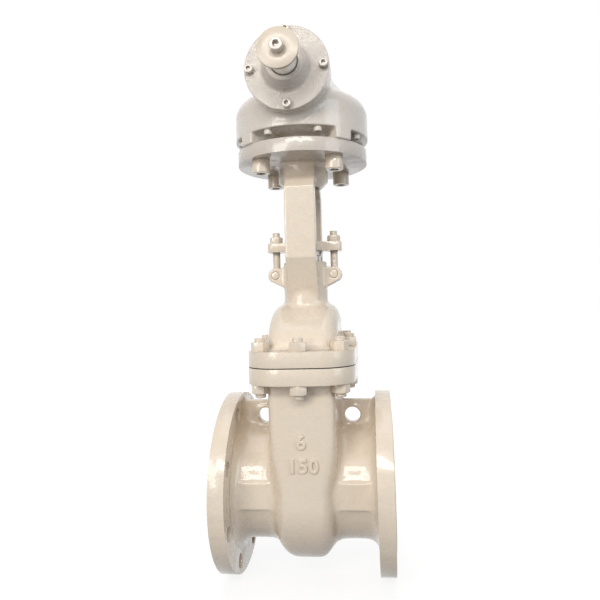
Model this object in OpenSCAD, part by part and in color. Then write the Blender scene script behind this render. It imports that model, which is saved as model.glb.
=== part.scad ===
// Flanged wedge gate valve with outside screw and yoke and a bevel gear operator.
// Frame: the origin is the centre of the inlet flange face. +X runs along the pipe
// into the valve, +Z runs up the stem, and the input shaft points to -Y. Millimetres.

/* [Ports] */
// Distance between the two pipe flange faces
face_to_face = 266.7; // [256:0.1:300]
// Bore through both ports
port_bore = 152.4; // [130:0.1:160]
// Outside diameter of the pipe flanges
pipe_flange_od = 279.4; // [272:0.1:300]
// Thickness of the pipe flanges, raised face included
pipe_flange_thick = 25.4; // [22:0.1:32]
// Diameter of the raised face
raised_face_od = 215.9; // [200:0.1:220]
// Height of the raised face
raised_face = 1.6; // [1:0.1:3]
// Bolt circle of the pipe flanges
pipe_pcd = 241.3; // [236:0.1:250]
// Diameter of the pipe bolt holes
pipe_hole = 22.2; // [18:0.1:24]
// Outside diameter of the necks between flange and chamber
neck_od = 174; // [170:0.5:184]
// Fillet between neck and flange
neck_fillet = 14; // [4:0.5:16]

/* [Chamber] */
// Width of the chamber along the pipe at its top
chamber_width = 101; // [98:0.5:106]
// Width of the flat strip under the chamber
chamber_foot = 38; // [36:0.5:60]
// Height over which the underside flares out to the full width
foot_rise = 40; // [30:0.5:50]
// Depth of the chamber across the pipe
chamber_depth = 206; // [202:0.5:212]
// Centre of the round floor below the port axis
chamber_drop = 12; // [8:0.5:16]
// Corner radius of the chamber
chamber_corner = 24; // [20:0.5:28]
// Wall of the pressure castings
casting_wall = 10.5; // [8:0.5:12]

/* [Bonnet joint] */
// Height of the joint between body and bonnet above the port axis
joint_height = 190.5; // [186:0.5:200]
// Thickness of the joint flange on the body
body_flange_thick = 24; // [20:0.5:28]
// Thickness of the joint flange on the bonnet
bonnet_flange_thick = 22.5; // [20:0.5:28]
// Width of the joint flanges along the pipe
joint_width = 161; // [158:0.5:180]
// Depth of the joint flanges across the pipe
joint_depth = 262; // [258:0.5:280]
// Corner radius of the joint flanges
joint_corner = 54; // [40:0.5:62]
// Thickness of the joint gasket
gasket_thick = 1.6; // [1:0.1:3]
// Stud diameter of the joint
stud_size = 16; // [14:1:16]
// Width of the joint nuts across flats
nut_flats = 24; // [22:0.5:25]
// Height of the joint nuts
nut_height = 14; // [12:0.5:16]

/* [Bonnet] */
// Width of the bonnet dome along the pipe
dome_width = 108; // [100:0.5:110]
// Depth of the bonnet dome across the pipe
dome_depth = 200; // [196:0.5:204]
// Height of the dome crown above the port axis
dome_top = 285; // [280:0.5:288]
// Outside diameter of the stuffing box
stuffing_box_od = 71; // [68:0.5:76]
// Height of the stuffing box rim above the port axis
stuffing_box_top = 352; // [346:0.5:358]
// Distance between the two eyebolts
eyebolt_spacing = 96; // [94:0.5:104]
// Height of the eyebolt pins above the port axis
eyebolt_pin_height = 331; // [326:0.5:334]
// Shank diameter of the eyebolts
eyebolt_size = 12; // [10:0.5:13]

/* [Yoke] */
// Width of each yoke arm
arm_width = 48; // [40:0.5:54]
// Thickness of each yoke arm
arm_thick = 17; // [14:0.5:18]
// Distance over the outer faces of both arms
arm_span = 120; // [114:0.5:126]
// Height of the underside of the yoke flange above the port axis
yoke_flange_height = 512; // [500:0.5:530]
// Diameter of the yoke flange
yoke_flange_od = 213; // [208:0.5:216]
// Thickness of the yoke flange
yoke_flange_thick = 21; // [18:0.5:26]
// Bolt circle of the yoke flange
yoke_pcd = 165; // [160:0.5:170]
// Thread size of the yoke flange screws
yoke_screw = 20; // [16:1:20]
// Diameter of the hub under the yoke flange
yoke_hub_od = 82; // [76:0.5:86]

/* [Stem and gland] */
// Diameter of the stem
stem_size = 32; // [28:0.5:34]
// Bore of the stuffing box
packing_bore = 52; // [50:0.5:54]
// Thickness of the gland flange
gland_flange_thick = 15; // [12:0.5:18]
// Height of the gland flange underside above the port axis
gland_height = 369.5; // [366:0.5:374]

/* [Gear operator] */
// Diameter of the gear housing drum
drum_od = 219; // [214:0.5:224]
// Height of the open windows above the yoke flange
window_height = 17; // [14:0.5:20]
// Height of the drum shoulder above the yoke flange
drum_height = 84; // [80:0.5:90]
// Radius of the round shoulder of the drum
drum_shoulder = 28; // [22:0.5:34]
// Radius of the hollow sweep from the shoulder up to the neck
crown_sweep = 110; // [80:1:140]
// Height of the input shaft axis above the yoke flange
input_height = 94; // [90:0.5:98]
// Turn of the whole operator on the yoke flange, input shaft towards the inlet
operator_turn = 1.6; // [0:0.1:3]
// Distance of the input cover face from the stem axis
cover_reach = 135; // [130:0.5:142]
// Diameter of the input cover
cover_od = 126; // [122:0.5:130]
// Thickness of the input cover disc
cover_thick = 14; // [10:0.5:16]
// Bolt circle of the input cover
cover_pcd = 110; // [106:0.5:112]
// Length of the boss on the input cover
boss_length = 20; // [18:0.5:26]
// Diameter of the input shaft
shaft_size = 38; // [34:0.5:40]
// Distance of the shaft end from the stem axis
shaft_reach = 195.5; // [186:0.5:205]
// Diameter of the washer on the shaft end
washer_od = 58; // [54:0.5:62]
// Thickness of the washer on the shaft end
washer_thick = 5; // [4:0.5:8]

/* [Hidden] */
$fn = 72;
eps = 0.01;
paint = [0.86, 0.80, 0.68];
steel = [0.62, 0.63, 0.64];

// fits
thread_gap = 0.2;    // radial gap between a screw and its hole
running_gap = 0.05;  // radial gap between the input shaft and its boss
mouth_gap = 1.3;     // radial gap between the input shaft and the mouth of the boss
slide_gap = 0.4;     // radial gap of the gland parts

// derived sizes of the body
half_face = face_to_face / 2;
flange_back = half_face - pipe_flange_thick;
wedge_angle = 5;
wedge_half = 21;                       // half thickness of the wedge at the port axis
seat_thick = 10;
seat_od = port_bore + 21;
wedge_od = seat_od - 3;
cavity_half_x = chamber_width / 2 - casting_wall;
cavity_half_y = chamber_depth / 2 - casting_wall;
guide_width = 10;
guide_gap = 1.5;
lug_hole_x = half_face - 62.5;
lug_hole_z = 104;
lug_top = 128;
lug_hole = 25;
lug_thick = 16;

// derived sizes of the bonnet joint
bonnet_base = joint_height + gasket_thick;
bonnet_seat = bonnet_base + bonnet_flange_thick;
body_flange_bottom = joint_height - body_flange_thick;
stud_tip = 6;
studs = [
    for (sx = [-1, 1]) for (sy = [-1, 1]) [sx * (joint_width / 2 - 21), sy * (joint_depth / 2 - 33)],
    for (sy = [-1, 1]) [0, sy * (joint_depth / 2 - 13.5)],
    for (sx = [-1, 1]) [sx * (joint_width / 2 - 12), 0]
];

// derived heights of the operator
yoke_top = yoke_flange_height + yoke_flange_thick;
plate_bottom = yoke_top + window_height;
plate_top = plate_bottom + 8;
drum_top = yoke_top + drum_height;
input_z = yoke_top + input_height;
barrel_od = cover_od - 12;
cover_rim = 24;                             // length of the barrel's rim behind the input cover
cover_back = cover_reach - cover_thick;
boss_mouth = cover_reach + boss_length;
seal_od = shaft_size + 8;
seal_depth = 8;
seal_lip = 3;                               // metal in front of the seal groove
yoke_screw_head = 28;
yoke_screw_head_height = 21;
small_screw = 8;
small_head = 13;
arm_face = arm_span / 2;
arm_inner = arm_face - arm_thick;
arm_bottom = stuffing_box_top + 8;          // the arms are straight from here
arm_top = yoke_flange_height - 50;          // to here
cover_seat = input_z + barrel_od / 2 + 4;   // top of the tower under the stem cover
cap_top = cover_seat + 28;
cap_bore = stem_size / 2 + 2;               // radius inside the stem cover
cap_screw_circle = cap_bore + 8.5;
cap_screw_size = 4;
shaft_screw_size = 12;
gear_base_core = 62;                        // radius of the solid middle of the gear base
gear_base_foot = 28.6;                      // width of its four feet

// derived sizes of the yoke hub and the drive sleeve in it
hub_bore = yoke_hub_od / 2 - 16;
sleeve_gap = 1;
stem_thread_gap = 0.3;

// eyebolts and their clevis ears
ear_gap = 15;
ear_thick = 9;
ear_radius = 12;
eye_radius = 11.5;
eye_side_gap = 0.7;
pin_radius = 6;

// helpers: round bars along each axis, and copies about the stem
module x_bar(r, x0, x1) { translate([x0, 0, 0]) rotate([0, 90, 0]) cylinder(r = r, h = x1 - x0); }
module y_bar(r, y0, y1) { translate([0, y1, 0]) rotate([90, 0, 0]) cylinder(r = r, h = y1 - y0); }
module z_bar(r, z0, z1) { translate([0, 0, z0]) cylinder(r = r, h = z1 - z0); }
module both_x() { children(); mirror([1, 0, 0]) children(); }
module both_y() { children(); mirror([0, 1, 0]) children(); }
module around(count, r, first = 0) {
    for (i = [0:count - 1]) rotate([0, 0, first + i * 360 / count]) translate([r, 0, 0]) children();
}
module at_stem() { translate([half_face, 0, 0]) children(); }
module at_operator() { at_stem() rotate([0, 0, -operator_turn]) children(); }
module at_input() { at_operator() translate([0, 0, input_z]) children(); }

// a rectangle with round corners, centred, given by its half sizes
module round_rect(half_x, half_y, corner) {
    square([2 * half_x, 2 * (half_y - corner)], center = true);
    square([2 * (half_x - corner), 2 * half_y], center = true);
    for (sx = [-1, 1]) for (sy = [-1, 1])
        translate([sx * (half_x - corner), sy * (half_y - corner)]) circle(r = corner);
}

// a hexagon nut standing on z = 0, flats facing Y, corners broken on top
module hex_nut(flats, height, bore) {
    difference() {
        intersection() {
            cylinder(d = flats / cos(30), h = height, $fn = 6);
            union() {
                cylinder(d = flats / cos(30) + 1, h = height - flats * 0.07);
                translate([0, 0, height - flats * 0.07])
                    cylinder(d1 = flats / cos(30) + 1, d2 = flats * 0.94, h = flats * 0.07);
            }
        }
        translate([0, 0, -1]) cylinder(d = bore, h = height + 2);
    }
}

// a socket head cap screw: shank below z = 0, head above it
module cap_screw(size, length, head, head_height) {
    difference() {
        union() {
            translate([0, 0, -length]) cylinder(d = size, h = length + eps);
            cylinder(d = head, h = head_height - 0.8);
            translate([0, 0, head_height - 0.8]) cylinder(d1 = head, d2 = head - 1.6, h = 0.8);
        }
        translate([0, 0, head_height * 0.45])
            cylinder(d = head * 0.5 / cos(30), h = head_height, $fn = 6);
    }
}

// the chamber form: a vertical box with round corners on a half-round floor
module chamber(half_x, half_y, corner, top) {
    foot = -chamber_drop - half_y;
    intersection() {
        translate([0, 0, -chamber_drop]) union() {
            linear_extrude(height = top + chamber_drop) round_rect(half_x, half_y, corner);
            rotate([0, 90, 0]) rotate([0, 0, -90]) rotate_extrude(angle = 180)
                intersection() {
                    round_rect(half_y, half_x, corner);
                    translate([0, -half_x]) square([half_y, 2 * half_x]);
                }
        }
        rotate([90, 0, 0]) linear_extrude(height = 2 * half_y + 20, center = true)
            polygon([
                [-chamber_foot / 2, foot - 3], [chamber_foot / 2, foot - 3], [half_x - 6, foot + foot_rise],
                [half_x, 100], [half_x, top + 1], [-half_x, top + 1], [-half_x, 100],
                [6 - half_x, foot + foot_rise]
            ]);
    }
}

// everything on the +X side of the tilted seat face, from one depth to another
module seat_slab(from, to) {
    rotate([0, wedge_angle, 0]) translate([from, -150, -150]) cube([to - from, 300, 300]);
}

// pipe flange and neck on the +X side, as one turned profile
module port_end() {
    rotate([0, 90, 0]) rotate_extrude() {
        square([neck_od / 2, half_face - raised_face]);
        translate([0, flange_back])
            square([pipe_flange_od / 2, pipe_flange_thick - raised_face]);
        translate([0, flange_back]) square([raised_face_od / 2, pipe_flange_thick]);
        translate([neck_od / 2, flange_back - neck_fillet]) difference() {
            square(neck_fillet);
            translate([neck_fillet, 0]) circle(r = neck_fillet);
        }
    }
}

// lifting eye web on the +X side, between chamber and flange
module lug_web() {
    rotate([90, 0, 0]) {
        linear_extrude(height = lug_thick, center = true) difference() {
            translate([chamber_width / 2 - 6, 60])
                square([flange_back - chamber_width / 2 + 7, lug_top - 60]);
            translate([lug_hole_x, lug_hole_z]) circle(d = lug_hole);
        }
        linear_extrude(height = lug_thick + 4, center = true) difference() {
            translate([lug_hole_x, lug_hole_z]) circle(d = lug_hole + 8);
            translate([lug_hole_x, lug_hole_z]) circle(d = lug_hole);
        }
    }
}

module valve_body() {
    color(paint) at_stem() difference() {
        union() {
            difference() {
                union() {
                    chamber(chamber_width / 2, chamber_depth / 2, chamber_corner, joint_height - 2);
                    both_x() port_end();
                    both_x() lug_web();
                    // flat pads along the necks
                    both_x() both_y()
                        translate([chamber_width / 2 - 12, neck_od / 2 - 12, -20])
                            cube([flange_back - chamber_width / 2 + 13, 14.5, 40]);
                    translate([0, 0, body_flange_bottom])
                        linear_extrude(height = body_flange_thick)
                            round_rect(joint_width / 2, joint_depth / 2, joint_corner);
                }
                chamber(cavity_half_x, cavity_half_y, chamber_corner - casting_wall,
                        joint_height + 1);
            }
            // seat bosses inside the chamber
            both_x() intersection() {
                x_bar(seat_od / 2 + 2, 0, chamber_width / 2 - 2);
                seat_slab(wedge_half + seat_thick, 120);
            }
            // guide rails for the wedge
            both_y() translate([-guide_width / 2, cavity_half_y - 6, -40])
                cube([guide_width, 8, joint_height - 5 + 40]);
        }
        x_bar(port_bore / 2, -half_face - 1, half_face + 1);
        // pipe bolt holes
        both_x() rotate([0, 90, 0])
            around(8, pipe_pcd / 2, 22.5)
                translate([0, 0, flange_back - 1]) cylinder(d = pipe_hole, h = 30);
        // clearance holes for the joint studs
        for (s = studs) translate([s[0], s[1], body_flange_bottom - 1])
            cylinder(d = stud_size + 2 * thread_gap, h = body_flange_thick + 2);
    }
}

module seat_ring() {
    intersection() {
        difference() {
            x_bar(seat_od / 2, 1, 80);
            x_bar(port_bore / 2, 0, 81);
        }
        seat_slab(wedge_half, wedge_half + seat_thick);
    }
}
module seat_ring_outlet() { color(steel) at_stem() seat_ring(); }
module seat_ring_inlet() { color(steel) at_stem() mirror([1, 0, 0]) seat_ring(); }

// closed wedge, flat on both seats, with a hub on top for the stem
module wedge() {
    color(steel) at_stem() difference() {
        intersection() {
            union() {
                x_bar(wedge_od / 2, -60, 60);
                translate([-30, -30, 0]) cube([60, 60, wedge_od / 2 + 22]);
            }
            seat_slab(-200, wedge_half);
            mirror([1, 0, 0]) seat_slab(-200, wedge_half);
        }
        // shallow recess inside each seating face
        both_x() intersection() {
            x_bar(port_bore / 2 - 12, 0, 60);
            seat_slab(wedge_half - 4, 120);
        }
        // slots that run on the guide rails
        both_y() translate([-guide_width / 2 - guide_gap, cavity_half_y - 6 - guide_gap, -120])
            cube([guide_width + 2 * guide_gap, 60, 240]);
        // slot for the stem head, open to both seat sides
        stem_head_slot();
    }
}
head_z = wedge_od / 2 + 2;
module stem_head_slot() {
    translate([-60, -stem_size / 2 - 7, head_z - 6]) cube([120, stem_size + 14, 12]);
    translate([-60, -stem_size / 2 - 1, head_z]) cube([120, stem_size + 2, 60]);
}

module stem() {
    color(steel) at_stem() {
        z_bar(stem_size / 2, head_z, cap_top - 12);
        translate([-14, -stem_size / 2 - 6, head_z - 5]) cube([28, stem_size + 12, 10]);
        // back seat collar
        translate([0, 0, dome_top - 46]) cylinder(r1 = stem_size / 2 + 7, r2 = stem_size / 2, h = 12);
    }
}

module bonnet_gasket() {
    color([0.08, 0.08, 0.08]) at_stem() translate([0, 0, joint_height])
        linear_extrude(height = gasket_thick) difference() {
            round_rect(joint_width / 2 - 0.5, joint_depth / 2 - 0.5, joint_corner - 0.5);
            round_rect(cavity_half_x + 2, cavity_half_y + 2, 20);
            for (s = studs) translate(s) circle(d = stud_size + 2);
        }
}

// dome form: an arch with round corners, turned about a line across the stem
module dome(half_x, r, corner, base, top) {
    intersection() {
        translate([0, 0, top - r]) rotate([0, 90, 0]) rotate([0, 0, 90]) rotate_extrude(angle = 180)
            intersection() {
                round_rect(r, half_x, corner);
                translate([0, -half_x]) square([r, 2 * half_x]);
            }
        translate([-half_x - 1, -r - 1, base]) cube([2 * half_x + 2, 2 * r + 2, top - base + 1]);
    }
}

// The yoke is one casting with the bonnet. It is drawn in three pieces that meet face to face:
// the feet of the arms on the bonnet, the straight arms, and the head that bends in under the flange.
module arm_outline(points) {
    rotate([90, 0, 90]) linear_extrude(height = arm_width, center = true) polygon(points);
}
module arm_foot() {
    arm_outline([
        [-arm_face, arm_bottom], [-arm_face, stuffing_box_top + 4],
        [-stuffing_box_od / 2 - 3, stuffing_box_top - 42], [-28, stuffing_box_top - 62],
        [-28, stuffing_box_top - 12], [-arm_inner + 6, stuffing_box_top - 4], [-arm_inner, arm_bottom]
    ]);
}
module arm_head() {
    arm_outline([
        [-arm_face, arm_top], [-arm_face, yoke_flange_height - 43],
        [-yoke_hub_od / 2, yoke_flange_height - 21], [-yoke_hub_od / 2 + 4, yoke_flange_height + 2],
        [-yoke_hub_od / 2 + 20, yoke_flange_height + 2], [-yoke_hub_od / 2 + 16, yoke_flange_height - 30],
        [-arm_inner, arm_top]
    ]);
}

// clevis ear pair for one eyebolt, on the +X side
module ears() {
    x = eyebolt_spacing / 2;
    both_y() translate([0, ear_gap / 2 + ear_thick, 0]) rotate([90, 0, 0])
        linear_extrude(height = ear_thick) {
            translate([x, eyebolt_pin_height]) circle(r = ear_radius);
            polygon([
                [20, eyebolt_pin_height + ear_radius], [x, eyebolt_pin_height + ear_radius],
                [x + 3, eyebolt_pin_height - 11.6], [stuffing_box_od / 2 - 1, eyebolt_pin_height - 20],
                [20, eyebolt_pin_height - 20]
            ]);
        }
}

module bonnet() {
    color(paint) at_stem() difference() {
        union() {
            translate([0, 0, bonnet_base]) linear_extrude(height = bonnet_flange_thick)
                round_rect(joint_width / 2, joint_depth / 2, joint_corner);
            dome(dome_width / 2, dome_depth / 2, 24, bonnet_base, dome_top);
            z_bar(stuffing_box_od / 2, dome_top - 20, stuffing_box_top);
            both_x() ears();
            both_y() arm_foot();
        }
        dome(dome_width / 2 - casting_wall, dome_depth / 2 - casting_wall, 24 - casting_wall,
             bonnet_base - 1, dome_top - casting_wall);
        z_bar(stem_size / 2 + 0.5, dome_top - 30, stuffing_box_top + 1);
        z_bar(packing_bore / 2, dome_top + 22, stuffing_box_top + 1);
        both_x() translate([eyebolt_spacing / 2, 0, eyebolt_pin_height])
            y_bar(pin_radius + thread_gap, -30, 30);
        for (s = studs) translate([s[0], s[1], bonnet_base - 1])
            cylinder(d = stud_size + 2 * thread_gap, h = bonnet_flange_thick + 2);
    }
}
module yoke_arms() {
    color(paint) at_stem() both_y() translate([-arm_width / 2, -arm_face, arm_bottom])
        cube([arm_width, arm_thick, arm_top - arm_bottom]);
}
module yoke_head() {
    color(paint) at_stem() difference() {
        union() {
            both_y() arm_head();
            z_bar(yoke_flange_od / 2, yoke_flange_height, yoke_top);
            z_bar(yoke_hub_od / 2, yoke_flange_height - 27, yoke_flange_height + 1);
            translate([0, 0, yoke_flange_height - 37])
                cylinder(r1 = yoke_hub_od / 2 - 10, r2 = yoke_hub_od / 2, h = 10);
        }
        z_bar(hub_bore, yoke_flange_height - 40, yoke_top + 1);
        rotate([0, 0, -operator_turn]) around(4, yoke_pcd / 2, 45)
            z_bar(yoke_screw / 2 + thread_gap, yoke_flange_height - 1, yoke_top + 1);
    }
}

module bonnet_studs() {
    z0 = body_flange_bottom - nut_height - stud_tip;
    z1 = bonnet_seat + nut_height + stud_tip;
    color(paint) at_stem() for (s = studs) translate([s[0], s[1], z0]) {
        translate([0, 0, 1.2]) cylinder(d = stud_size, h = z1 - z0 - 2.4);
        cylinder(d1 = stud_size - 2.4, d2 = stud_size, h = 1.2);
        translate([0, 0, z1 - z0 - 1.2]) cylinder(d1 = stud_size, d2 = stud_size - 2.4, h = 1.2);
    }
}
module joint_nut() { hex_nut(nut_flats, nut_height, stud_size + 2 * thread_gap); }
module nut_turn(s) { rotate([0, 0, s[1] == 0 ? 30 : s[0] * 0.5 + 90]) children(); }
module bonnet_nuts_upper() {
    color(paint) at_stem() for (s = studs)
        translate([s[0], s[1], bonnet_seat]) nut_turn(s) joint_nut();
}
module bonnet_nuts_lower() {
    color(paint) at_stem() for (s = studs)
        translate([s[0], s[1], body_flange_bottom]) mirror([0, 0, 1]) nut_turn(s) joint_nut();
}

module packing() {
    color([0.15, 0.15, 0.15]) at_stem() difference() {
        z_bar(packing_bore / 2 - eps, dome_top + 22, stuffing_box_top - 14);
        z_bar(stem_size / 2 + eps, dome_top, stuffing_box_top);
    }
}
module gland_follower() {
    color(steel) at_stem() difference() {
        union() {
            z_bar(packing_bore / 2 - slide_gap, stuffing_box_top - 14, gland_height);
            z_bar(packing_bore / 2 + 3, gland_height - 8, gland_height);
        }
        z_bar(stem_size / 2 + slide_gap, 0, gland_height + 10);
    }
}
module gland_flange() {
    x = eyebolt_spacing / 2;
    color(paint) at_stem() translate([0, 0, gland_height])
        linear_extrude(height = gland_flange_thick) difference() {
            union() {
                circle(r = 34);
                square([2 * x, 30], center = true);
                for (sx = [-1, 1]) translate([sx * (x + 1), 0]) round_rect(12, 15, 8);
            }
            circle(r = stem_size / 2 + 2);
            for (sx = [-1, 1]) translate([sx * x, 0]) circle(d = eyebolt_size + 2);
        }
}
module eyebolts() {
    color(paint) at_stem() both_x() translate([eyebolt_spacing / 2, 0, 0]) difference() {
        union() {
            translate([0, 0, eyebolt_pin_height])
                y_bar(eye_radius, -ear_gap / 2 + eye_side_gap, ear_gap / 2 - eye_side_gap);
            z_bar(eyebolt_size / 2, eyebolt_pin_height + 5, gland_height + gland_flange_thick + 18);
        }
        translate([0, 0, eyebolt_pin_height]) y_bar(pin_radius + thread_gap, -20, 20);
    }
}
module eyebolt_pins() {
    color(paint) at_stem() both_x() translate([eyebolt_spacing / 2, 0, eyebolt_pin_height])
        y_bar(pin_radius, -ear_gap / 2 - ear_thick - 1, ear_gap / 2 + ear_thick + 1);
}
module gland_nuts() {
    color(paint) at_stem() both_x()
        translate([eyebolt_spacing / 2, 0, gland_height + gland_flange_thick])
            hex_nut(19, 10.8, eyebolt_size + 2 * thread_gap);
}

// threaded sleeve that the gear turns to raise the stem
module drive_sleeve() {
    color([0.75, 0.6, 0.3]) at_stem() difference() {
        union() {
            z_bar(hub_bore - sleeve_gap, yoke_top - 10, drum_top - 6);
            z_bar(34, plate_top, plate_top + 10);
        }
        z_bar(stem_size / 2 + stem_thread_gap, 0, cap_top);
    }
}

module gear_base() {
    color(paint) at_operator() difference() {
        union() {
            z_bar(drum_od / 2, plate_bottom, plate_top);
            z_bar(gear_base_core, yoke_top, plate_bottom + 1);
            // four feet that stand on the yoke flange
            intersection() {
                z_bar(drum_od / 2, yoke_top, plate_bottom + 1);
                for (a = [45:90:315])
                    rotate([0, 0, a]) translate([50, -gear_base_foot / 2, yoke_top])
                        cube([80, gear_base_foot, window_height + 0.5]);
            }
        }
        z_bar(hub_bore, yoke_top - 1, plate_top + 1);
        around(4, yoke_pcd / 2, 45) z_bar(yoke_screw / 2 + thread_gap, yoke_top - 1, plate_top + 1);
        around(8, drum_od / 2 - 9.5, 22.5)
            z_bar(small_screw / 2 + thread_gap, plate_bottom - 1, plate_top + 1);
    }
}
module base_screws() {
    color(paint) at_operator() around(8, drum_od / 2 - 9.5, 22.5) translate([0, 0, plate_bottom])
        mirror([0, 0, 1]) cap_screw(small_screw, 22, small_head, small_screw);
}
module yoke_screws() {
    color(paint) at_operator() around(4, yoke_pcd / 2, 45) translate([0, 0, yoke_flange_height])
        mirror([0, 0, 1]) cap_screw(yoke_screw, 44, yoke_screw_head, yoke_screw_head_height);
}

// turned outline of the drum: upright wall, round shoulder, then a crown that sweeps up to the neck;
// inset moves the whole outline inwards, so the cavity follows the outside
module drum(inset, foot, crown) {
    x = drum_od / 2 - drum_shoulder;            // centre of the round shoulder
    z = drum_top - drum_shoulder;
    r = drum_shoulder - inset;
    sweep = crown_sweep + inset;
    lean = 60;                                  // where the shoulder hands over to the sweep
    rotate_extrude() {
        polygon([[0, foot], [x + r, foot], [x + r, z], [0, z]]);
        intersection() {
            translate([x, z]) circle(r = r);
            translate([0, z - 1]) square([x + r, r + 2]);
        }
        difference() {
            polygon([
                [0, z - 1], [x + r * cos(lean), z - 1], [x + r * cos(lean), crown], [0, crown]
            ]);
            translate([x + (r + sweep - 0.1) * cos(lean), z + (r + sweep - 0.1) * sin(lean)])
                circle(r = sweep);
        }
    }
}
module gear_housing() {
    wall = 9;
    color(paint) at_operator() difference() {
        union() {
            drum(0, plate_top, cover_seat - 8);
            translate([0, 0, input_z]) {
                y_bar(barrel_od / 2, -cover_back, -30);
                y_bar(cover_od / 2 - 1, -cover_back, -cover_back + cover_rim);
                // flanks that widen behind the cover and drop into the drum
                translate([0, 0, -40]) linear_extrude(height = 40) polygon([
                    [-barrel_od * 0.35, -cover_back + 8], [barrel_od * 0.35, -cover_back + 8],
                    [barrel_od / 2, -cover_back + 36], [barrel_od / 2, -12],
                    [-barrel_od / 2, -12], [-barrel_od / 2, -cover_back + 36]
                ]);
                translate([0, -30 - eps, 0]) rotate([-90, 0, 0])
                    cylinder(r1 = barrel_od / 2, r2 = 34, h = 56);
            }
            // tower that carries the stem cover
            z_bar(cap_bore + 14, drum_top - 4, cover_seat);
        }
        difference() {
            drum(wall, plate_top - 1, cover_seat - 24);
            // thicker rim for the base screws
            difference() {
                z_bar(drum_od / 2, plate_top - 2, plate_top + 22);
                z_bar(drum_od / 2 - 18, plate_top - 3, plate_top + 23);
            }
        }
        translate([0, 0, input_z]) y_bar(barrel_od / 2 - 14, -cover_back - 1, -30);
        z_bar(stem_size / 2 + 6, plate_top, cap_top);
        around(8, drum_od / 2 - 9.5, 22.5)
            z_bar(small_screw / 2 + thread_gap, plate_top - 1, plate_top + 20);
        translate([0, -cover_back, input_z]) rotate([90, 0, 0])
            around(4, cover_pcd / 2) z_bar(small_screw / 2 + thread_gap, 4 - cover_rim, 1);
        around(4, cap_screw_circle, 45)
            z_bar(cap_screw_size / 2 + thread_gap, cover_seat - 16, cover_seat + 1);
    }
}

module input_cover() {
    color(paint) at_input() difference() {
        union() {
            y_bar(cover_od / 2, -cover_reach, -cover_back);
            y_bar(barrel_od / 2 - 14.3, -cover_back - 1, -cover_back + 18);
            translate([0, -cover_reach + eps, 0]) rotate([90, 0, 0])
                cylinder(r1 = 37, r2 = 27, h = boss_length);
        }
        y_bar(shaft_size / 2 + running_gap, -boss_mouth + seal_lip, 0);
        y_bar(shaft_size / 2 + mouth_gap, -boss_mouth - 1, -boss_mouth + seal_lip + 1);
        y_bar(seal_od / 2, -boss_mouth + seal_lip, -boss_mouth + seal_lip + seal_depth);
        rotate([90, 0, 0]) around(4, cover_pcd / 2)
            z_bar(small_screw / 2 + thread_gap, cover_back - 1, cover_reach + 1);
    }
}
module cover_screws() {
    color(paint) at_input() rotate([90, 0, 0])
        around(4, cover_pcd / 2) translate([0, 0, cover_reach])
            cap_screw(small_screw, cover_thick + 16, small_head, small_screw);
}
module shaft_seal() {
    color([0.3, 0.3, 0.3]) at_input() difference() {
        y_bar(seal_od / 2 - eps, -boss_mouth + seal_lip, -boss_mouth + seal_lip + seal_depth);
        y_bar(shaft_size / 2 + running_gap, -boss_mouth - 5, 0);
    }
}
module input_shaft() {
    color(steel) at_input() difference() {
        union() {
            y_bar(shaft_size / 2, -shaft_reach, -cover_back + 40);
            y_bar(shaft_size / 2 + 6, -cover_back + 18.5, -cover_back + 30);
        }
        y_bar(shaft_screw_size / 2 + thread_gap, -shaft_reach - 1, -shaft_reach + 32);
    }
}
module shaft_washer() {
    color(paint) at_input() difference() {
        y_bar(washer_od / 2, -shaft_reach - washer_thick, -shaft_reach);
        y_bar(shaft_screw_size / 2 + thread_gap, -shaft_reach - 20, 0);
    }
}
module shaft_screw() {
    color(paint) at_input() translate([0, -shaft_reach - washer_thick, 0]) rotate([90, 0, 0])
        cap_screw(shaft_screw_size, 32, 18, shaft_screw_size);
}

// plain cap over the rising stem
module stem_cover() {
    z = cover_seat;
    color(paint) at_operator() difference() {
        union() {
            z_bar(cap_bore + 12, z, z + 8);
            z_bar(cap_bore + 4, z, cap_top);
        }
        z_bar(cap_bore, z - 1, cap_top - 5);
        around(4, cap_screw_circle, 45) z_bar(cap_screw_size / 2 + thread_gap, z - 1, z + 9);
    }
}
module stem_cover_screws() {
    color(paint) at_operator() around(4, cap_screw_circle, 45) translate([0, 0, cover_seat + 8])
        cap_screw(cap_screw_size, 14, 7, cap_screw_size);
}

valve_body();
seat_ring_inlet();
seat_ring_outlet();
wedge();
stem();
bonnet_gasket();
bonnet();
yoke_arms();
yoke_head();
bonnet_studs();
bonnet_nuts_upper();
bonnet_nuts_lower();
packing();
gland_follower();
gland_flange();
eyebolts();
eyebolt_pins();
gland_nuts();
drive_sleeve();
gear_base();
base_screws();
yoke_screws();
gear_housing();
input_cover();
cover_screws();
shaft_seal();
input_shaft();
shaft_washer();
shaft_screw();
stem_cover();
stem_cover_screws();
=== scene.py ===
import math
from collections import namedtuple
import bmesh
import bpy
from mathutils import Matrix, Vector
from mathutils.bvhtree import BVHTree


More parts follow.
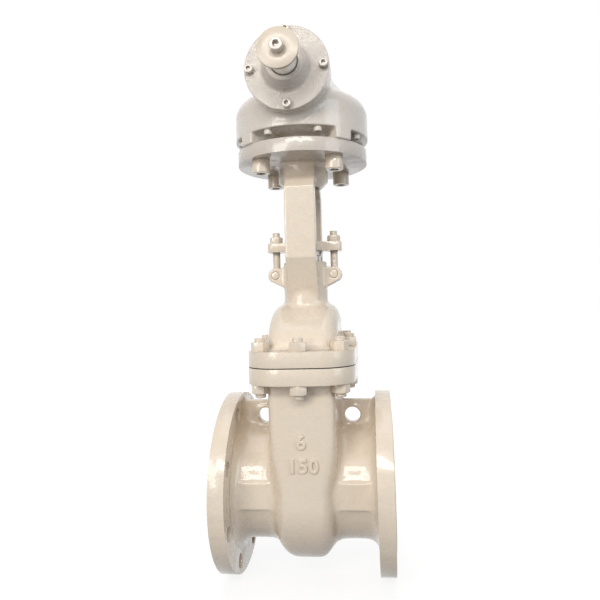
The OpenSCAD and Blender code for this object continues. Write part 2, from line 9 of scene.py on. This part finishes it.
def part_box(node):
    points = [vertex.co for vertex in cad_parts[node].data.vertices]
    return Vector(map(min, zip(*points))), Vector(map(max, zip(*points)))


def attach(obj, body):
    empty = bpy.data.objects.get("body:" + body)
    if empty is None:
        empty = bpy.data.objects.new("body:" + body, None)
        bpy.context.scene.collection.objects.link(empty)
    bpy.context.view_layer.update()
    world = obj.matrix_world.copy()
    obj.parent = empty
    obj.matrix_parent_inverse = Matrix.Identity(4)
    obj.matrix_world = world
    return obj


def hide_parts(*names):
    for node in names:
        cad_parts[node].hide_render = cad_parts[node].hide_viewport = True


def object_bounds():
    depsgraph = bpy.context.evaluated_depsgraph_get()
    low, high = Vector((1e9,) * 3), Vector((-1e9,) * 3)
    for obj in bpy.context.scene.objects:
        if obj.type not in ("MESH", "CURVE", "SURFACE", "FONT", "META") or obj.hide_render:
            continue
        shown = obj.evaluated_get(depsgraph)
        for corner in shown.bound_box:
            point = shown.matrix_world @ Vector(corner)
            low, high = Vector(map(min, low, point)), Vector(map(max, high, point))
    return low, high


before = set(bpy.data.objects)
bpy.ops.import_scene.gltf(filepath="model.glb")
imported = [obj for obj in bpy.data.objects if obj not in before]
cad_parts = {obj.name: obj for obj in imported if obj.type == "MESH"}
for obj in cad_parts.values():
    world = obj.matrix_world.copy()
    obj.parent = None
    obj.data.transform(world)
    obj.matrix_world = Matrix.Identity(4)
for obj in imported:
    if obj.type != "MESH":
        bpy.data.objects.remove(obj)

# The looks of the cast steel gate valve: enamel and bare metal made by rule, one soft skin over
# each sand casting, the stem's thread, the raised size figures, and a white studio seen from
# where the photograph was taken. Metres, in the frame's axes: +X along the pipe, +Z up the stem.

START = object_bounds()
scene = bpy.context.scene


# ---------------------------------------------------------------- shader nodes
class Tree:
    """A node tree with short calls for the nodes used here. An input takes a constant or an
    output of another node."""

    def __init__(self, owner):
        owner.use_nodes = True
        self.nodes, self.links = owner.node_tree.nodes, owner.node_tree.links

    def wire(self, node, inputs):
        """Gives the node's inputs, by name or number, their values."""
        for socket, value in inputs.items():
            if isinstance(value, bpy.types.NodeSocket):
                self.links.new(value, node.inputs[socket])
            elif node.inputs[socket].type == "RGBA":
                node.inputs[socket].default_value = (*value, 1)
            else:
                node.inputs[socket].default_value = value

    def node(self, kind, inputs, **settings):
        """The outputs of a new node of a kind, such as Bump."""
        made = self.nodes.new("ShaderNode" + kind)
        for key, value in settings.items():
            setattr(made, key, value)
        self.wire(made, inputs)
        return made.outputs

    def place(self):
        """The shaded point in the object's own space."""
        return self.node("TexCoord", {})["Object"]

    def noise(self, scale, detail=4.0, rough=0.5, stretch=None):
        """Noise in object space; stretch squeezes it along an axis."""
        where = self.place()
        if stretch:
            where = self.node("Mapping", {"Scale": stretch, "Vector": where})["Vector"]
        return self.node("TexNoise", {"Scale": scale, "Detail": detail, "Roughness": rough,
                                      "Vector": where})["Fac"]

    def ramp(self, value, low, high, a, b):
        """a where value is low and b where it is high, in a straight line between them."""
        return self.node("MapRange", {"Value": value, "From Min": low, "From Max": high,
                                      "To Min": a, "To Max": b})["Result"]

    def maths(self, operation, *values):
        """One step of arithmetic on numbers."""
        return self.node("Math", dict(enumerate(values)), operation=operation)[0]

    def vector(self, operation, *values):
        """The outputs of one step of arithmetic on vectors."""
        return self.node("VectorMath", dict(enumerate(values)), operation=operation)

    def mix(self, factor, a, b):
        """The colour a where factor is 0 and b where it is 1."""
        return self.node("Mix", {0: factor, 6: a, 7: b}, data_type="RGBA")[2]

    def bump(self, height, depth, strength=1.0):
        """The surface's normal, tilted as a relief of this height times depth tilts it."""
        return self.node("Bump", {"Height": height, "Distance": depth, "Strength": strength})["Normal"]


def new_material(name):
    """A material, its node tree and its surface node."""
    material = bpy.data.materials.new(name)
    tree = Tree(material)
    return material, tree, tree.nodes["Principled BSDF"]


def shade(colour, factor):
    """The colour, darker or lighter."""
    return tuple(c * factor for c in colour)


# ---------------------------------------------------------------- materials
HOLLOW_SHADE_REACH = 0.012     # how far from a wall the painted shade of a hollow reaches
HOLLOW_SHADE = 0.4             # how much of the paint that painted shade hides at most
THREAD_DEPTH = 0.45     # depth of a screw thread, as a share of half its pitch
FACING_DEPTH = 0.4      # the same for the grooves of a faced surface


def paint(name, colours, rough, grain, depth, pits=0.0, thread=0.0,
          coat=0.6, coat_rough=0.06, peeled=0.12):
    """Gloss enamel over metal: blotches between the fresh and the worn colour, painted shade in the
    hollows, uneven gloss, and orange peel over the grain of the metal. grain is the noise scale
    of that grain and depth its height. pits adds sand-casting pits and thread a screw thread of
    that pitch along Z. coat is the weight of the clear gloss, and peeled is how much of the grain
    comes through it."""
    material, tree, surface = new_material(name)
    fresh, worn = colours
    tinted = tree.mix(tree.ramp(tree.noise(9.0, 5.0), 0.35, 0.7, 0.0, 1.0), fresh, worn)
    # painted shade: where ambient occlusion finds a hollow, the colour darkens towards half the worn
    # colour, in patches
    hollow = tree.node("AmbientOcclusion", {"Distance": HOLLOW_SHADE_REACH}, samples=4)["AO"]
    hollow_shade = tree.maths("MULTIPLY", tree.ramp(hollow, 0.25, 0.75, HOLLOW_SHADE, 0.0),
                       tree.ramp(tree.noise(60.0), 0.3, 0.65, 0.4, 1.0))
    height = tree.maths("MULTIPLY_ADD", tree.noise(grain * 4.0, 2.0), 0.25,
                        tree.noise(grain, 3.0, 0.55))
    if pits:
        cells = tree.node("TexVoronoi", {"Scale": grain * 1.3, "Vector": tree.place()})["Distance"]
        height = tree.maths("ADD", height, tree.ramp(cells, 0.0, 0.45, -pits, 0.0))
    if thread:
        up = tree.node("SeparateXYZ", {0: tree.place()})["Z"]
        saw = tree.maths("PINGPONG", up, thread / 2)
        height = tree.maths("MULTIPLY_ADD", saw, THREAD_DEPTH / depth, height)
    tree.wire(surface, {
        # the base colour carries the painted shade of the hollows
        "Base Color": tree.mix(hollow_shade, tinted, shade(worn, 0.5)),
        "Roughness": tree.ramp(tree.noise(45.0, 3.0), 0.3, 0.7, rough * 0.7, rough * 1.4),
        "Coat Weight": coat,
        "Coat Roughness": coat_rough,
        "Normal": tree.bump(height, depth),
        "Coat Normal": tree.bump(height, depth, peeled)})
    return material


def metal(name, colour, rough, streak, depth=0.00003, rings=0.0):
    """Machined metal with a faint stain. streak stretches the tool marks so that they run round
    the part, depth is their height, and rings is the pitch of the grooves that facing leaves
    round the pipe's axis."""
    material, tree, surface = new_material(name)
    stain = tree.noise(30.0)
    height = tree.noise(400.0, 2.0, 0.5, streak)
    if rings:
        across = tree.vector("MULTIPLY", tree.place(), (0, 1, 1))["Vector"]
        groove = tree.maths("PINGPONG", tree.vector("LENGTH", across)["Value"], rings / 2)
        height = tree.maths("MULTIPLY_ADD", groove, FACING_DEPTH / depth, height)
    tree.wire(surface, {
        "Metallic": 1.0,
        "Base Color": tree.mix(stain, colour, shade(colour, 0.78)),
        "Roughness": tree.ramp(stain, 0.3, 0.7, rough * 0.8, rough * 1.25),
        "Normal": tree.bump(height, depth, 0.6)})
    return material


def soft(name, colour, rough, grain):
    """Graphite or rubber: mottled, with a fine moulded grain."""
    material, tree, surface = new_material(name)
    tree.wire(surface, {
        "Base Color": tree.mix(tree.noise(80.0), colour, shade(colour, 1.7)),
        "Roughness": rough,
        "Normal": tree.bump(tree.noise(grain, 3.0), 0.0002)})
    return material


# fresh and worn colours of the paint
CREAM = (0.73, 0.63, 0.515), (0.715, 0.615, 0.495)
GREYED = (0.66, 0.60, 0.535), (0.645, 0.585, 0.515)
# painted shade: a darker copy of the cream, for the yoke flange, whose underside lies in shade, and
# for the input cover, standing for the dark surroundings it mirrors
SHADED_CREAM = (0.58, 0.52, 0.465), (0.56, 0.50, 0.44)
TAN = (0.64, 0.555, 0.455), (0.62, 0.53, 0.43)
# tool marks that run round an axis
ROUND_X, ROUND_Y, ROUND_Z = (0.3, 1.0, 1.0), (0.15, 1.0, 0.15), (0.15, 0.15, 1.0)

cast = paint("cream_cast", CREAM, 0.26, 150.0, 0.0005)
# painted shade: the yoke flange in the darker copy of the cream
head = paint("cream_head", SHADED_CREAM, 0.26, 150.0, 0.0005)
smooth = paint("cream_smooth", CREAM, 0.22, 260.0, 0.00018)
threaded = paint("cream_threaded", CREAM, 0.24, 260.0, 0.0002, thread=0.002)
gear = paint("cream_gear", GREYED, 0.26, 210.0, 0.0005, pits=0.35, coat=0.8, peeled=0.2)
# painted reflection: the input cover in the darker copy of the cream, standing for the dark
# surroundings it mirrors
peel = paint("cream_peel", SHADED_CREAM, 0.2, 240.0, 0.0011, pits=0.3,
             coat=1.0, coat_rough=0.03, peeled=1.0)
trim = paint("cream_trim", GREYED, 0.22, 260.0, 0.00018)
tan = paint("cream_tan", TAN, 0.3, 260.0, 0.00025, coat=0.2)
steel = metal("machined_steel", (0.56, 0.56, 0.56), 0.3, ROUND_Z)
shaft = metal("turned_steel", (0.70, 0.68, 0.64), 0.45, ROUND_Y, 0.00012)
facing = metal("faced_steel", (0.64, 0.63, 0.61), 0.38, ROUND_X, rings=0.0008)
bronze = metal("bronze", (0.62, 0.42, 0.20), 0.3, ROUND_Z)
black = soft("gasket_black", (0.012, 0.012, 0.012), 0.7, 500.0)
packing = soft("packing_grey", (0.03, 0.03, 0.03), 0.6, 300.0)
rubber = soft("seal_grey", (0.06, 0.06, 0.062), 0.45, 700.0)

LOOKS = {
    "valve_body": cast, "bonnet": cast, "gear_housing": gear, "gear_base": gear,
    "input_cover": peel, "cover_screws": trim, "base_screws": trim, "shaft_washer": tan,
    "shaft_screw": trim, "stem_cover": trim, "stem_cover_screws": trim,
    "bonnet_studs": threaded, "eyebolts": threaded,
    "seat_ring_inlet": steel, "seat_ring_outlet": steel, "wedge": steel, "stem": steel,
    "gland_follower": steel, "input_shaft": shaft, "drive_sleeve": bronze,
    "bonnet_gasket": black, "packing": packing, "shaft_seal": rubber,
}


# ---------------------------------------------------------------- objects and meshes
SAME_POINT = 0.00001            # vertices this close are one
SAME_LEVEL = 0.0001             # and this close along a normal they are on one surface
SHARP = math.radians(35)        # edges sharper than this are machined or moulded edges


def modify(o, kind, **settings):
    """Puts a modifier on an object."""
    modifier = o.modifiers.new(kind.lower(), kind)
    for key, value in settings.items():
        setattr(modifier, key, value)


def shade_smooth(mesh):
    """Shades every face of the mesh smooth."""
    for p in mesh.polygons:
        p.use_smooth = True


def add(name, mesh, material, body="valve"):
    """A new piece that rides on a body."""
    o = bpy.data.objects.new(name, mesh)
    scene.collection.objects.link(o)
    mesh.materials.clear()
    mesh.materials.append(material)
    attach(o, body)
    return o


def helper(data):
    """An object to work on. It doesn't stay in the scene."""
    o = bpy.data.objects.new("work", data)
    scene.collection.objects.link(o)
    return o


def baked(work):
    """The mesh of a helper after its modifiers. The helper goes."""
    mesh = bpy.data.meshes.new_from_object(work.evaluated_get(bpy.context.evaluated_depsgraph_get()))
    bpy.data.objects.remove(work)
    return mesh


def evaluated(mesh, *steps):
    """mesh after modifiers, each given as (type, {setting: value})."""
    work = helper(mesh)
    for kind, settings in steps:
        modify(work, kind, **settings)
    return baked(work)


def softened(mesh, weight, rounds):
    """mesh smoothed where weight(point) says so, from 0 to 1."""
    work = helper(mesh)
    group = work.vertex_groups.new(name="soft")
    for v in mesh.vertices:
        w = weight(v.co)
        if w > 0:
            group.add([v.index], w, "REPLACE")
    modify(work, "SMOOTH", factor=0.5, iterations=rounds, vertex_group="soft")
    return baked(work)


def joined(*meshes):
    """The meshes as one, nothing merged."""
    bm = bmesh.new()
    for mesh in meshes:
        bm.from_mesh(mesh)
    out = bpy.data.meshes.new("joined")
    bm.to_mesh(out)
    bm.free()
    return out


def surface_of(mesh):
    """A search tree for the nearest point of the mesh."""
    return BVHTree.FromPolygons([v.co for v in mesh.vertices], [p.vertices for p in mesh.polygons])


def snapped(mesh, raw, reach):
    """mesh with each vertex that isn't proud of raw's surface, and is within reach, put on it."""
    surface = surface_of(raw)
    for v in mesh.vertices:
        spot, normal, _, gap = surface.find_nearest(v.co)
        if gap < reach and (v.co - spot).dot(normal) < SAME_LEVEL:
            v.co = spot
    return mesh


def blend(value, start, end):
    """0 before start, 1 past end, a smooth step between; end may be the smaller one."""
    t = min(1.0, max(0.0, (value - start) / (end - start)))
    return t * t * (3 - 2 * t)


for name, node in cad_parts.items():
    node.data.materials.clear()
    node.data.materials.append(LOOKS.get(name, smooth))
    modify(node, "WELD", merge_threshold=SAME_POINT)
    modify(node, "BEVEL", width=0.0006, segments=2, limit_method="ANGLE", angle_limit=SHARP,
           harden_normals=True)
    shade_smooth(node.data)


# ---------------------------------------------------------------- castings
PROUD = 0.0004          # a machined flange stands this much proud of the casting's skin
FLANGE_EDGE = 0.0012    # width of its broken edges
LOOK_BEHIND = 0.001     # how far behind its cut the casting's surface is looked for
GOES_ON = 0.0003        # and how near it has to be there to go on
PARALLEL = 0.99         # cosine above which a face points outward

# A machined end of a casting: all of it past a place, in the outward direction. face is the
# material of its outermost face, or None for the same.
MachinedEnd = namedtuple("MachinedEnd", "name place outward material face")


def flange(raw, end):
    """A machined end of raw as a crisp piece with broken edges."""
    normal = Vector(end.outward)
    plane = Vector(end.place) - normal * PROUD
    surface = surface_of(raw)
    block = bpy.data.meshes.new("block")
    bm = bmesh.new()
    turn = normal.to_track_quat("Z", "Y").to_matrix().to_4x4()
    bmesh.ops.create_cube(bm, size=1.0, matrix=Matrix.Translation(plane + normal * 0.5) @ turn)
    bm.to_mesh(block)
    bm.free()
    cutter = helper(block)
    part = evaluated(raw.copy(), ("BOOLEAN", {
        "operation": "INTERSECT", "object": cutter, "solver": "EXACT"}))
    bpy.data.objects.remove(cutter)

    # every sharp edge is broken, but not where the casting goes on behind the cut
    bm = bmesh.new()
    bm.from_mesh(part)
    broken = bm.edges.layers.float.new("bevel_weight_edge")
    for e in bm.edges:
        if len(e.link_faces) < 2 or e.calc_face_angle(0.0) < SHARP:
            continue
        middle = (e.verts[0].co + e.verts[1].co) / 2
        goes_on = (abs((middle - plane).dot(normal)) < SAME_POINT
                   and surface.find_nearest(middle - normal * LOOK_BEHIND)[3] < GOES_ON)
        e[broken] = 0.0 if goes_on else 1.0
    mesh = bpy.data.meshes.new(end.name)
    bm.to_mesh(mesh)
    bm.free()

    piece = add(end.name, mesh, end.material)
    mesh.materials.append(end.face or end.material)
    outermost = max(v.co.dot(normal) for v in mesh.vertices)
    for p in mesh.polygons:
        outer = p.center.dot(normal) > outermost - SAME_LEVEL
        p.material_index = int(outer and p.normal.dot(normal) > PARALLEL)
    shade_smooth(mesh)
    modify(piece, "BEVEL", width=FLANGE_EDGE, segments=3, limit_method="WEIGHT",
           harden_normals=True)


def clipped(mesh, ends):
    """mesh cut off at each machined end, just inside the flange that takes over there."""
    bm = bmesh.new()
    bm.from_mesh(mesh)
    for end in ends:
        plane, normal = Vector(end.place), Vector(end.outward)
        bmesh.ops.bisect_plane(bm, geom=bm.verts[:] + bm.edges[:] + bm.faces[:],
                               plane_co=plane - normal * PROUD / 2, plane_no=normal,
                               clear_outer=True)
    bm.to_mesh(mesh)
    bm.free()
    return mesh


def casting(name, nodes, material, voxel, most, rounding=36, fill=lambda point: 1.0,
            shape=None, ends=()):
    """The nodes as one sand casting with fillets, in at most so many triangles: a smoothed copy
    fills the inner corners, both become one skin, and the skin goes back to the nodes' own
    surface except at those fillets. rounding is how many rounds the copy is smoothed, fill says
    from 0 to 1 where, and shape changes the finished skin. ends are the machined ends."""
    raw = joined(*[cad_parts[n].data for n in nodes])
    raw = evaluated(raw, ("WELD", {"merge_threshold": SAME_POINT}))
    skin = ("REMESH", {"mode": "VOXEL", "voxel_size": voxel})
    core = softened(evaluated(raw.copy(), skin), fill, rounding)
    whole = evaluated(joined(raw, core), skin, ("SMOOTH", {"factor": 0.5, "iterations": 2}))
    whole = evaluated(snapped(whole, raw, 1.5 * voxel), ("SMOOTH", {"factor": 0.3, "iterations": 1}))
    if shape:
        whole = shape(whole)
    clipped(whole, ends)
    triangles = sum(len(p.vertices) - 2 for p in whole.polygons)
    if triangles > most:
        whole = evaluated(whole, ("DECIMATE", {"ratio": most / triangles}))
    shade_smooth(whole)
    piece = add("cast_" + name, whole, material)
    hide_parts(*nodes)
    for end in ends:
        flange(raw, end)


STEM_X = (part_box("stem")[0].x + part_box("stem")[1].x) / 2
CORNER_X, CORNER_Y, CORNER_R = 0.0265, 0.079, 0.024     # centre and radius of the chamber's corners
CHAMBER_DROP = 0.012                                    # its round floor's centre below the port
CORNER_POWER, CORNER_SQUARING = 1.4, 2.1                # 1 is a bevel and 2 round; what height adds
SQUARE_Z = 0.09                                         # height at which the corners are squarest
PORT_FLANGE = 0.0254                                    # thickness of the pipe flanges
JOINT_FLANGE = 0.024                                    # thickness of the joint flange on the body
BONNET_FLANGE = 0.0225                                  # thickness of the joint flange on the bonnet
YOKE_FLANGE = 0.021                                     # thickness of the yoke flange
EYE_Z, EYE_R = 0.104, 0.0125                            # height and radius of the lifting eyes
EYE_OFF = 0.0625                                        # distance of the eyes from the flange faces

# Where a fillet or a change of shape fades in, each (none of it, all of it). off is the distance
# from the stem along the pipe, side the distance from the plane through stem and pipe, and bore
# the distance from the port's axis.
CLEAR_OF_BORE = 0.078, 0.084
CLEAR_OF_EYE = EYE_R + 0.004, EYE_R + 0.012             # distance from an eye's axis
CLEAR_OF_WEB = 0.012, 0.02                              # side
FLANGE_BACK_OFF, FLANGE_BACK_BORE, FLANGE_BACK_SIDE = (0.098, 0.104), (0.099, 0.105), (0.016, 0.022)
UNDER_Z, UNDER_OFF, UNDER_BORE = (-0.03, -0.09), (0.085, 0.065), (0.080, 0.086)
UNDER_ROUNDS = 120                                      # rounds of smoothing there
CORNER_OFF, CORNER_LIMIT = (0.066, 0.052), 0.07         # off, and where the corners end
CORNER_REACH = 0.6 * CORNER_R, 0.95 * CORNER_R          # distance from a corner's centre


def body_fill(point):
    """Fillets all over the body, but not in its bore, round its lifting eyes or at the backs of
    its pipe flanges past the necks."""
    off, side = abs(point.x - STEM_X), abs(point.y)
    bore = math.hypot(point.y, point.z)
    back = (blend(off, *FLANGE_BACK_OFF) * blend(bore, *FLANGE_BACK_BORE)
            * blend(side, *FLANGE_BACK_SIDE))
    eye_x = STEM_X + math.copysign(STEM_X - EYE_OFF, point.x - STEM_X)
    eye = math.hypot(point.x - eye_x, point.z - EYE_Z)
    clear_of_eye = max(blend(eye, *CLEAR_OF_EYE), blend(side, *CLEAR_OF_WEB))
    return blend(bore, *CLEAR_OF_BORE) * (1 - back) * clear_of_eye


def underside(point):
    """Where the chamber's underside is softened: below the ports, between the necks."""
    return (blend(point.z, *UNDER_Z) * blend(abs(point.x - STEM_X), *UNDER_OFF)
            * blend(math.hypot(point.y, point.z), *UNDER_BORE))


def bowl(mesh):
    """The chamber's corners square near the joint and bevelled below, its underside a bowl."""
    for v in mesh.vertices:
        off = v.co.x - STEM_X
        low = min(0.0, v.co.z + CHAMBER_DROP)       # depth below the floor's centre, as a minus
        reach = math.hypot(v.co.y, low)
        # how far past the corner's centre the point is, along the pipe and outward
        u, w = abs(off) - CORNER_X, reach - CORNER_Y
        if u <= 0 or w <= 0 or abs(off) > CORNER_LIMIT:
            continue
        r = math.hypot(u, w)
        power = CORNER_POWER + CORNER_SQUARING * blend(v.co.z, 0.0, SQUARE_Z)
        # the superellipse's reach in this direction, as a share of a round corner's
        target = ((u / r) ** power + (w / r) ** power) ** (-1 / power)
        push = blend(r, *CORNER_REACH) * blend(abs(off), *CORNER_OFF)
        grow = 1 + (target - 1) * push
        v.co.x = STEM_X + math.copysign(CORNER_X + u * grow, off)
        scale = (CORNER_Y + w * grow) / reach
        v.co.y *= scale
        if low < 0:
            v.co.z = -CHAMBER_DROP + low * scale
    return softened(mesh, underside, UNDER_ROUNDS)


_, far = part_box("valve_body")
casting("body", ["valve_body"], cast, voxel=0.002, most=190000, rounding=200,
        fill=body_fill, shape=bowl, ends=[
    MachinedEnd("flange_inlet", (PORT_FLANGE, 0, 0), (-1, 0, 0), cast, facing),
    MachinedEnd("flange_outlet", (far.x - PORT_FLANGE, 0, 0), (1, 0, 0), cast, facing),
    MachinedEnd("joint_flange_body", (0, 0, far.z - JOINT_FLANGE), (0, 0, 1), cast, None)])
bonnet_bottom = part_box("bonnet")[0].z
yoke_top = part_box("yoke_head")[1].z
casting("bonnet", ["bonnet", "yoke_arms", "yoke_head"], cast, voxel=0.0018, most=180000, ends=[
    MachinedEnd("joint_flange_bonnet", (0, 0, bonnet_bottom + BONNET_FLANGE), (0, 0, -1), cast, None),
    # the yoke flange in the darker cream, painted shade
    MachinedEnd("yoke_flange", (0, 0, yoke_top - YOKE_FLANGE), (0, 0, 1), head, None)])
casting("gearbox", ["gear_base", "gear_housing"], gear, voxel=0.0018, most=180000)
casting("cover", ["input_cover"], peel, voxel=0.0011, most=90000)


# ---------------------------------------------------------------- stem thread
TURN_STEPS = 48                 # points in one turn
THREAD_PROFILE = ((0.0, 1.0), (0.37, 1.0), (0.5, 0.0), (0.87, 0.0))  # (share of pitch, of depth)
CORE_OVERLAP = 0.00005          # how far the core stands out of the thread's root


def threaded_stem(plain_top, pitch, depth):
    """The stem with a trapezoidal thread above plain_top."""
    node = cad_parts["stem"].data
    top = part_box("stem")[1].z
    axis = (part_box("stem")[0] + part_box("stem")[1]) / 2
    radius = max(math.hypot(v.co.x - axis.x, v.co.y - axis.y)
                 for v in node.vertices if v.co.z > plain_top)

    # the plain part below, closed at its cut
    bm = bmesh.new()
    bm.from_mesh(node)
    bmesh.ops.remove_doubles(bm, verts=bm.verts, dist=SAME_POINT)
    everything = bm.verts[:] + bm.edges[:] + bm.faces[:]
    cut = bmesh.ops.bisect_plane(bm, geom=everything, plane_co=(0, 0, plain_top),
                                 plane_no=(0, 0, 1), clear_outer=True)
    edge = [e for e in cut["geom_cut"] if isinstance(e, bmesh.types.BMEdge)]
    bmesh.ops.contextual_create(bm, geom=edge)

    # the thread, which runs in and out over its first and last turn
    points = (int((top - plain_top) / pitch) - 2) * TURN_STEPS
    rows = []
    for phase, crest in THREAD_PROFILE:
        row = []
        for i in range(points + 1):
            out = min(1.0, i / TURN_STEPS, (points - i) / TURN_STEPS)
            r = radius - depth + depth * crest * out
            a = 2 * math.pi * i / TURN_STEPS
            z = plain_top + pitch * (i / TURN_STEPS + phase)
            row.append(bm.verts.new((axis.x + r * math.cos(a), axis.y + r * math.sin(a), z)))
        rows.append(row)
    for i in range(points):
        for low_row, high_row in zip(rows, rows[1:]):
            bm.faces.new((low_row[i], low_row[i + 1], high_row[i + 1], high_row[i]))
        above = i + TURN_STEPS
        if above < points:
            bm.faces.new((rows[-1][i], rows[-1][i + 1], rows[0][above + 1], rows[0][above]))

    # the core that the thread winds round
    core = Matrix.Translation((axis.x, axis.y, (plain_top + top) / 2))
    root = radius - depth + CORE_OVERLAP
    bmesh.ops.create_cone(bm, cap_ends=True, segments=TURN_STEPS, radius1=root, radius2=root,
                          depth=top - plain_top, matrix=core)
    bmesh.ops.recalc_face_normals(bm, faces=bm.faces)
    mesh = bpy.data.meshes.new("threaded_stem")
    bm.to_mesh(mesh)
    bm.free()
    mesh.set_sharp_from_angle(angle=SHARP)
    piece = add("threaded_stem", mesh, steel)
    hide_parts("stem")


threaded_stem(plain_top=0.395, pitch=0.006, depth=0.003)


# ---------------------------------------------------------------- cast figures
CHAMBER_FRONT = 0.103           # distance of the chamber's flat front from the stem
FIGURE_HEIGHT = 0.73            # height of the font's figures at size 1
FIGURE_RELIEF = 0.0018          # how far their sides stand out of the front
FIGURE_ROUNDING = 0.0010        # radius of their edges
FIGURE_BOLDER = 0.0002          # what is added to their outline
FIGURE_SHARP = math.radians(50)


def relief_number(text, x, z, height):
    """Raised cast figures on the front of the body: the nominal size and the pressure class."""
    curve = bpy.data.curves.new("number", "FONT")
    curve.body = text
    curve.align_x = "CENTER"
    curve.align_y = "CENTER"
    curve.size = height / FIGURE_HEIGHT
    curve.space_character = 1.15
    curve.extrude = FIGURE_RELIEF
    curve.bevel_depth = FIGURE_ROUNDING
    curve.bevel_resolution = 2
    curve.offset = FIGURE_BOLDER
    mesh = baked(helper(curve))
    upright = Matrix.Rotation(math.pi / 2, 4, "X")
    mesh.transform(Matrix.Translation((x, -CHAMBER_FRONT, z)) @ upright)
    shade_smooth(mesh)
    mesh.set_sharp_from_angle(angle=FIGURE_SHARP)
    add("number_" + text, mesh, cast)


relief_number("6", STEM_X - 0.001, 0.0815, 0.021)
relief_number("150", STEM_X + 0.0013, 0.0472, 0.020)


# ---------------------------------------------------------------- stage
FLOOR_REACH = 14.0              # half the floor's side
NEAR, FAR = 0.7, 2.5            # the floor is a little grey nearer than this, white past this
NEAR_WHITE = 0.86               # how white it is there
ROOM_LIGHT = 0.38               # strength of the light from all round
ROOM_COLOUR = (0.93, 0.95, 1.0)


def shows_background(tree):
    """1 for the rays that show the white background: to the camera, in metal, through glass."""
    rays = tree.node("LightPath", {})
    mirrored = tree.maths("MAXIMUM", rays["Is Glossy Ray"], rays["Is Transmission Ray"])
    return tree.maths("MAXIMUM", rays["Is Camera Ray"], mirrored)


def softbox(name, where, at, width, height, watts, colour=(1, 1, 1)):
    """A rectangular lamp at a place, turned to another."""
    d = bpy.data.lights.new(name, "AREA")
    d.shape = "RECTANGLE"
    d.size, d.size_y, d.energy, d.color = width, height, watts, colour
    o = bpy.data.objects.new(name, d)
    o.location = where
    o.rotation_mode = "QUATERNION"
    o.rotation_quaternion = (Vector(at) - Vector(where)).to_track_quat("-Z", "Y")
    scene.collection.objects.link(o)
    return o


low, high = START
floor_mesh = bpy.data.meshes.new("floor")
floor_mesh.from_pydata([(x * FLOOR_REACH, y * FLOOR_REACH, 0)
                        for x, y in ((-1, -1), (1, -1), (1, 1), (-1, 1))], [], [(0, 1, 2, 3)])
floor = bpy.data.objects.new("floor", floor_mesh)
floor.location = (0, 0, low.z)
scene.collection.objects.link(floor)
floor_material, floor_tree, floor_surface = new_material("floor")
reach = floor_tree.vector("LENGTH", floor_tree.place())["Value"]
white = floor_tree.ramp(reach, NEAR, FAR, NEAR_WHITE, 1.0)
floor_tree.wire(floor_surface, {
    "Base Color": (0.13, 0.128, 0.125),
    "Roughness": 0.8,
    "Emission Color": (1, 1, 1),
    "Emission Strength": floor_tree.maths("MULTIPLY", shows_background(floor_tree), white)})
floor_mesh.materials.append(floor_material)

world = bpy.data.worlds.new("studio")
scene.world = world
world_tree = Tree(world)
shown = shows_background(world_tree)
world_tree.wire(world_tree.nodes["Background"], {
    "Color": world_tree.mix(shown, ROOM_COLOUR, (1.0, 1.0, 1.0)),
    "Strength": world_tree.ramp(shown, 0.0, 1.0, ROOM_LIGHT, 1.0)})

mid = (low + high) / 2
softbox("strip", mid + Vector((0.0, -2.2, 1.3)), mid, 1.9, 0.42, 28, (1.0, 0.98, 0.94))
softbox("key", mid + Vector((-1.2, -2.0, 0.5)), mid, 1.0, 1.0, 21, (1.0, 0.97, 0.92))
softbox("fill", mid + Vector((1.9, -1.1, 0.5)), mid, 1.0, 1.6, 12, (0.88, 0.94, 1.0))
softbox("top", mid + Vector((0.0, 0.0, 2.0)), mid, 1.6, 1.6, 8)
back = softbox("back", mid + Vector((-0.3, 2.2, 1.0)), mid, 1.6, 1.6, 26, (0.95, 0.97, 1.0))
back.visible_glossy = False                     # no glare along the edges seen from the front


# ---------------------------------------------------------------- camera
# Fitted by least squares to points measured in the photograph: the camera stands close, at the
# height of the bonnet and a little to the right of the stem.
eye = Vector((0.24947, -0.93573, 0.27803))
yaw, pitch, roll = 0.1056, 0.0573, -0.0276
ahead = Vector((-math.sin(yaw) * math.cos(pitch), math.cos(yaw) * math.cos(pitch), math.sin(pitch)))
right = Vector((math.cos(yaw), math.sin(yaw), 0))
up = right.cross(ahead)
right, up = (right * math.cos(roll) + up * math.sin(roll),
             up * math.cos(roll) - right * math.sin(roll))
cam_data = bpy.data.cameras.new("camera")
cam_data.sensor_width = 36
cam_data.lens = 34.19
cam_data.shift_x = -0.0265
cam_data.shift_y = -0.0428
cam_data.clip_start = 0.02
cam_data.clip_end = 60
cam_data.dof.use_dof = False
camera = bpy.data.objects.new("camera", cam_data)
camera.matrix_world = Matrix((
    (right.x, up.x, -ahead.x, eye.x),
    (right.y, up.y, -ahead.y, eye.y),
    (right.z, up.z, -ahead.z, eye.z),
    (0, 0, 0, 1)))
scene.collection.objects.link(camera)
scene.camera = camera
scene.view_settings.view_transform = "Standard"
scene.view_settings.look = "None"
